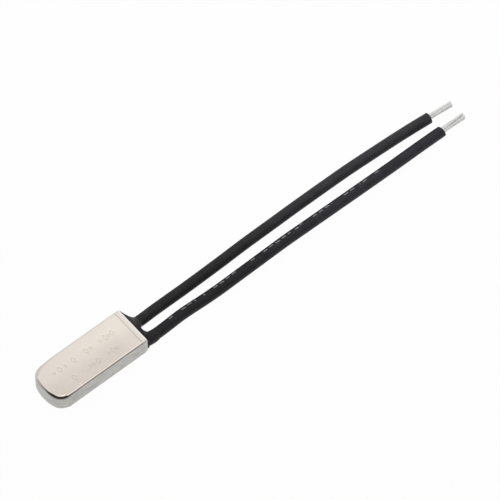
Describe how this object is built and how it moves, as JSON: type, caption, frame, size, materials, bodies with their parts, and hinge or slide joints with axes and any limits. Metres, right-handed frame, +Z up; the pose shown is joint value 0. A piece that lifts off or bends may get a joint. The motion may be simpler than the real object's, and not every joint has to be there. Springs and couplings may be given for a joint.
{
  "type": "bimetal thermostat",
  "caption": "Flat snap-action bimetal thermostat in a drawn metal can, sealed with resin, with two insulated leads stripped at their ends",
  "frame": {"origin": "middle of the can's flat underside, 20 mm by 8.1 mm", "axes": "+X along the can towards the leads, +Y across the can, +Z up out of the stamped face"},
  "size_m": [0.0934, 0.0082, 0.0039],
  "materials": {
    "case": "satin nickel plate",
    "sleeve": "thin film",
    "tray": "moulded resin",
    "terminal": "stamped strip",
    "contact": "silver alloy",
    "spring": "rolled copper alloy strip",
    "bimetal": "rolled bimetal",
    "dam": "vulcanised fibre",
    "seal": "cast epoxy",
    "insulation": "matte extruded silicone rubber",
    "conductor": "tinned copper strands"
  },
  "bodies": {
    "housing": {"case": "case", "insulating_sleeve": "sleeve", "base_tray": "tray", "fixed_terminal": "terminal", "moving_terminal": "terminal", "arm_rivet": "terminal", "fixed_contact": "contact", "resin_dam": "dam", "epoxy_seal": "seal", "lead_a": "insulation", "lead_b": "insulation", "lead_a_core": "conductor", "lead_b_core": "conductor", "lead_a_tip": "conductor", "lead_b_tip": "conductor"},
    "arm": {"contact_arm": "spring", "moving_contact": "contact", "bimetal_disc": "bimetal"}
  },
  "joints": [
    {"name": "contact_arm_flex", "type": "hinge", "parent": "housing", "child": "arm", "pos_m": [0.0005, 0, 0.00184], "axis": [0, 1, 0], "range_deg": [0, 3.5], "stiffness_Nm_per_rad": 0.00004, "springref_deg": -2.86}
  ]
}
